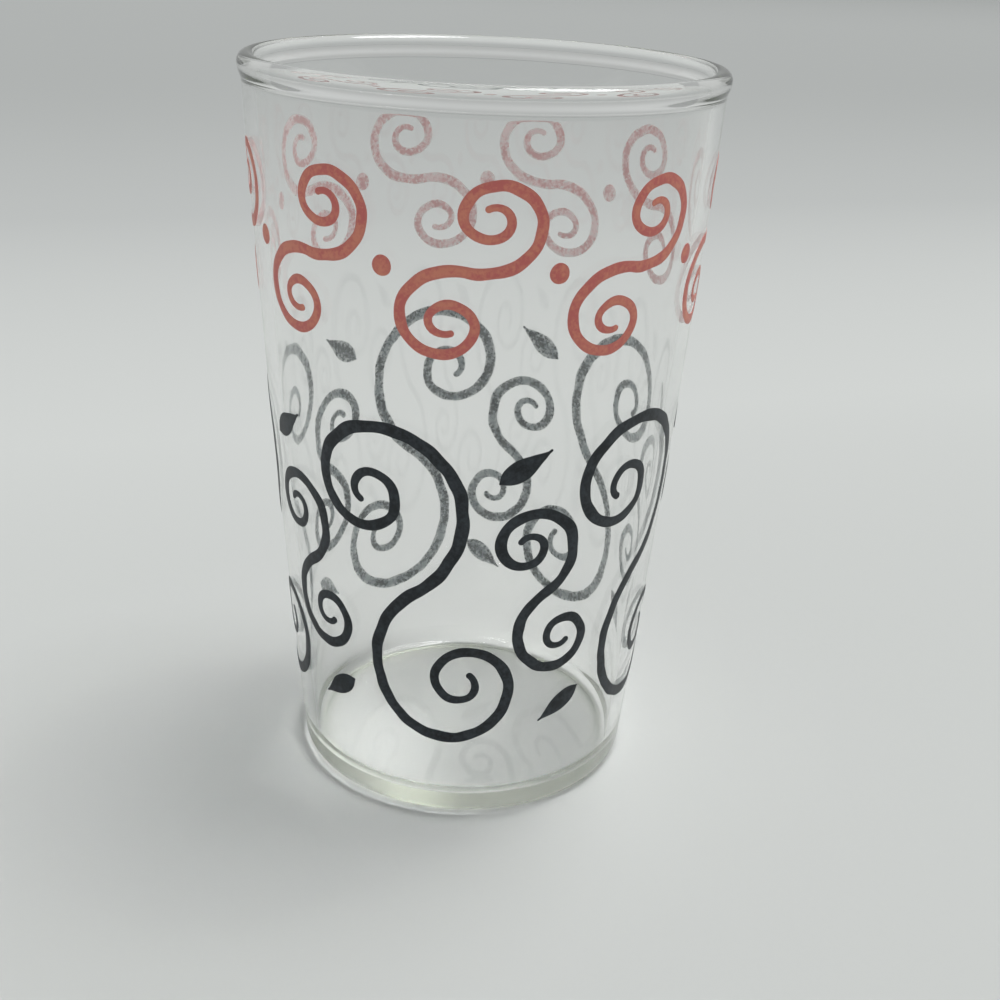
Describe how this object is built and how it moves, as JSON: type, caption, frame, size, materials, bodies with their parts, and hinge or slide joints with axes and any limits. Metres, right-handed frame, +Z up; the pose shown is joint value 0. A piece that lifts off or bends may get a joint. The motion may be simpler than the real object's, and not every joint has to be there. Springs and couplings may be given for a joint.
{
  "type": "juice glass",
  "caption": "Small tapered tumbler of clear glass with a rounded rim bead and a thin flat foot, printed outside with a salmon band and a black band of scrolls in fired enamel.",
  "frame": {"origin": "middle of the foot, on the surface that the glass stands on", "axes": "+Z up along the axis of the glass, -Y towards the viewer of the picture, +X to that viewer's right"},
  "size_m": [0.06, 0.06, 0.095],
  "materials": {
    "clear_glass": "clear soda-lime glass, smooth and fire polished",
    "salmon_enamel": "salmon fired enamel print, satin, slightly uneven",
    "black_enamel": "blue-black fired enamel print, satin, slightly uneven"
  },
  "bodies": {
    "root": {"glass_tumbler": "clear_glass", "salmon_scroll_1": "salmon_enamel", "salmon_dot_1": "salmon_enamel", "salmon_scroll_2": "salmon_enamel", "salmon_dot_2": "salmon_enamel", "salmon_scroll_3": "salmon_enamel", "salmon_dot_3": "salmon_enamel", "salmon_scroll_4": "salmon_enamel", "salmon_dot_4": "salmon_enamel", "salmon_scroll_5": "salmon_enamel", "salmon_dot_5": "salmon_enamel", "salmon_scroll_6": "salmon_enamel", "salmon_dot_6": "salmon_enamel", "salmon_scroll_7": "salmon_enamel", "salmon_dot_7": "salmon_enamel", "salmon_scroll_8": "salmon_enamel", "salmon_dot_8": "salmon_enamel", "salmon_scroll_9": "salmon_enamel", "salmon_dot_9": "salmon_enamel", "black_scroll_1": "black_enamel", "black_tendril_1": "black_enamel", "black_upper_leaf_1": "black_enamel", "black_lower_leaf_1": "black_enamel", "black_scroll_2": "black_enamel", "black_tendril_2": "black_enamel", "black_upper_leaf_2": "black_enamel", "black_lower_leaf_2": "black_enamel", "black_scroll_3": "black_enamel", "black_tendril_3": "black_enamel", "black_upper_leaf_3": "black_enamel", "black_lower_leaf_3": "black_enamel", "black_scroll_4": "black_enamel", "black_tendril_4": "black_enamel", "black_upper_leaf_4": "black_enamel", "black_lower_leaf_4": "black_enamel", "black_scroll_5": "black_enamel", "black_tendril_5": "black_enamel", "black_upper_leaf_5": "black_enamel", "black_lower_leaf_5": "black_enamel"}
  },
  "joints": []
}
